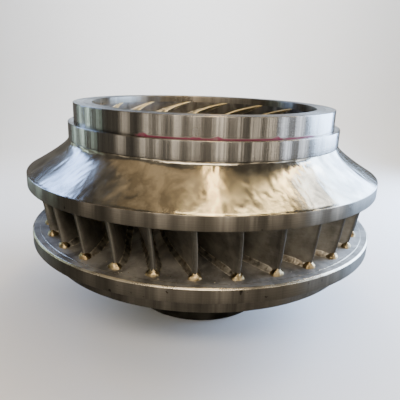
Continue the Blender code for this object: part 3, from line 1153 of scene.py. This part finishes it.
class RUNNER_OT_spatter(bpy.types.Operator):
    """Make the weld spatter on the crown's face between the blades' noses"""

    bl_idname = "runner.spatter"
    bl_label = "Weld Spatter"

    def execute(self, context):
        welds = context.scene.runner_welds
        straw = context.scene.runner_colours.heels
        metal = weld_metal("Stainless weld metal, spatter", straw, 0.22, 0.34)
        spokes = 180
        field = (0.495, 0.568)
        turns = np.arange(spokes) * 2 * math.pi / spokes
        verts = [placed(radius, CROWN_FLOW[0][1], turn) for radius in field for turn in turns]
        pairs = [(k, (k + 1) % spokes) for k in range(spokes)]
        annulus = bpy.data.meshes.new("spatter_field")
        annulus.from_pydata(verts, [], [(k, n, spokes + n, spokes + k) for k, n in pairs])
        values = {"Density": welds.spatter, "Smallest": 0.0007, "Largest": 0.0018}
        values |= {"Seed": welds.seed, "Material": metal}
        mesh = grown("weld_spatter", annulus, spatter_tree(), values)
        shown("weld_spatter", mesh, metal)
        return {"FINISHED"}


def studio_sweep():
    """A floor that sweeps up behind in a quarter circle."""
    near, bend, radius, top = -5.0, 2.6, 1.4, 4.5
    turns = np.linspace(0.1, math.pi / 2, 16)
    outline = [(y, 0.0) for y in np.linspace(near, bend, 12)]
    outline += [(bend + radius * math.sin(a), radius * (1 - math.cos(a))) for a in turns]
    outline += [(bend + radius, top)]
    under_the_hub = 0.0004
    verts = [(x, y, z - under_the_hub) for x in (-6.0, 6.0) for y, z in outline]
    sweep = bpy.data.meshes.new("studio_sweep")
    sweep.from_pydata(verts, [], lattice(2, len(outline)))
    sweep.shade_smooth()
    sweep.materials.append(studio_paint())
    return bpy.data.objects.new("studio_sweep", sweep)


def studio_lamps():
    """Soft panels, and thin upright strips round the runner whose light the turned walls smear."""
    lamps = [
        ("right_softbox", (2.3, 0.85, 1.2), (0.3, 0, 0.45), 250, (2.0, 2.0), "#b4d2ff"),
        ("right_shoulder", (2.15, 0.75, 2.5), (0.3, -0.3, 0.55), 13, (0.45, 0.9), "#e8ecf2"),
        ("left_softbox", (-2.1, 1.1, 1.7), (-0.3, 0, 0.5), 20, (0.45, 1.2), "#8fb4ff"),
        ("overhead_strip", (0.22, -0.1, 2.9), (0.22, -0.1, 0.5), 27, (0.17, 3.6), "#ffdca0"),
        ("overhead_side_strip", (1.25, 0.2, 2.8), (0.3, 0.2, 0.5), 38, (0.17, 3.6), "#ffe6b4"),
        ("overhead_left_panel", (-0.95, -0.4, 2.8), (-0.2, -0.3, 0.5), 5.0, (1.3, 2.4), "#ffdeb0"),
        ("front_fill", (-0.1, -2.4, 2.3), (0, 0, 0.35), 48, (2.6, 0.5), "#fff0de"),
        ("back_panel", (0, 3.4, 1.25), (0, 0, 0.7), 11, (3.2, 0.6), "#d3e2f5"),
        ("sweep_light", (0.0, 1.6, 2.6), (0, 4.2, 0.8), 160, (3.0, 1.0), "#ffffff"),
    ]
    distance, height, tall = 2.3, 0.85, 1.5
    # Azimuth in degrees, power and width: pale green at the far left, warm in front, blue at the right
    strips = ((-118, 3.0, 0.30), (-103, 3.4, 0.12), (-88, 1.4, 0.18), (-60, 1.3, 0.24), (-42, 2.0, 0.28))
    strips += ((-31, 1.5, 0.16), (-19, 2.8, 0.26), (-6, 1.8, 0.18), (12, 4.0, 0.30), (24, 1.6, 0.14))
    strips += ((38, 2.2, 0.18), (50, 2.0, 0.14), (62, 6.5, 0.22), (77, 9.5, 0.30))
    for azimuth, power, width in strips:
        spot = placed(distance, height, math.radians(azimuth))
        tint = "#c6e4dd" if azimuth < -80 else "#fff3e4" if azimuth < 55 else "#dbe8ff"
        lamps.append((f"strip_{azimuth}", spot, (0, 0, height), power, (width, tall), tint))
    return lamps


class RUNNER_OT_stage(bpy.types.Operator):
    """Make the studio: a pale floor that sweeps up behind, soft lights and the camera"""

    bl_idname = "runner.stage"
    bl_label = "Studio"

    def execute(self, context):
        scene = context.scene
        floor = studio_sweep()
        scene.collection.objects.link(floor)
        # A white floor mirrored in the steel would wash out its light and dark streaks
        floor.visible_glossy = False

        scene.world = bpy.data.worlds.new("Studio")
        scene.world.use_nodes = True
        background = scene.world.node_tree.nodes["Background"]
        fill(background, {"Color": linear("#a09a90"), "Strength": 0.5})

        for name, spot, target, power, size, tint in studio_lamps():
            data = bpy.data.lights.new(name, "AREA")
            data.shape = "RECTANGLE"
            data.size, data.size_y = size
            data.energy = power
            data.color = linear(tint)[:3]
            lamp = bpy.data.objects.new(name, data)
            lamp.location = spot
            lamp.visible_camera = False
            lamp.rotation_euler = (Vector(target) - Vector(spot)).to_track_quat("-Z", "Y").to_euler()
            scene.collection.objects.link(lamp)

        data = bpy.data.cameras.new("photo_view")
        data.sensor_width = SENSOR_WIDTH
        data.lens = SENSOR_WIDTH * FOCAL_PIXELS / PHOTO_PIXELS
        camera = bpy.data.objects.new("photo_view", data)
        yaw = Matrix.Rotation(-CAMERA_YAW, 4, "Z")
        pitch = Matrix.Rotation(math.pi / 2 - CAMERA_PITCH, 4, "X")
        roll = Matrix.Rotation(CAMERA_ROLL, 4, "Z")
        camera.matrix_world = Matrix.Translation(CAMERA_PLACE) @ yaw @ pitch @ roll
        scene.collection.objects.link(camera)
        scene.camera = camera
        return {"FINISHED"}


class RUNNER_PT_panel(bpy.types.Panel):
    """The runner's operators and settings in the sidebar"""

    bl_label = "Francis Turbine Runner"
    bl_idname = "RUNNER_PT_panel"
    bl_space_type = "VIEW_3D"
    bl_region_type = "UI"
    bl_category = "Runner"

    def draw(self, context):
        for operator in OPERATORS:
            self.layout.operator(operator.bl_idname)
        for name in SETTINGS:
            box = self.layout.box()
            group = getattr(context.scene, name)
            for setting in group.__annotations__:
                box.prop(group, setting)


SETTINGS = {
    "runner_sizes": RunnerSizes,
    "runner_blades": BladeSettings,
    "runner_welds": WeldSettings,
    "runner_colours": FinishColours,
}
OPERATORS = (
    RUNNER_OT_crown,
    RUNNER_OT_hubs,
    RUNNER_OT_band,
    RUNNER_OT_seal_rings,
    RUNNER_OT_blades,
    RUNNER_OT_welds,
    RUNNER_OT_spatter,
    RUNNER_OT_stage,
)


def register():
    for cls in (*SETTINGS.values(), *OPERATORS, RUNNER_PT_panel):
        bpy.utils.register_class(cls)
    for name, group in SETTINGS.items():
        setattr(bpy.types.Scene, name, PointerProperty(type=group))


def unregister():
    for name in SETTINGS:
        delattr(bpy.types.Scene, name)
    for cls in reversed((*SETTINGS.values(), *OPERATORS, RUNNER_PT_panel)):
        bpy.utils.unregister_class(cls)


def main():
    register()
    bpy.ops.runner.crown()
    bpy.ops.runner.hubs()
    bpy.ops.runner.band()
    bpy.ops.runner.seal_rings()
    bpy.ops.runner.blades()
    bpy.ops.runner.welds()
    bpy.ops.runner.spatter()
    bpy.ops.runner.stage()


if __name__ == "__main__":
    main()
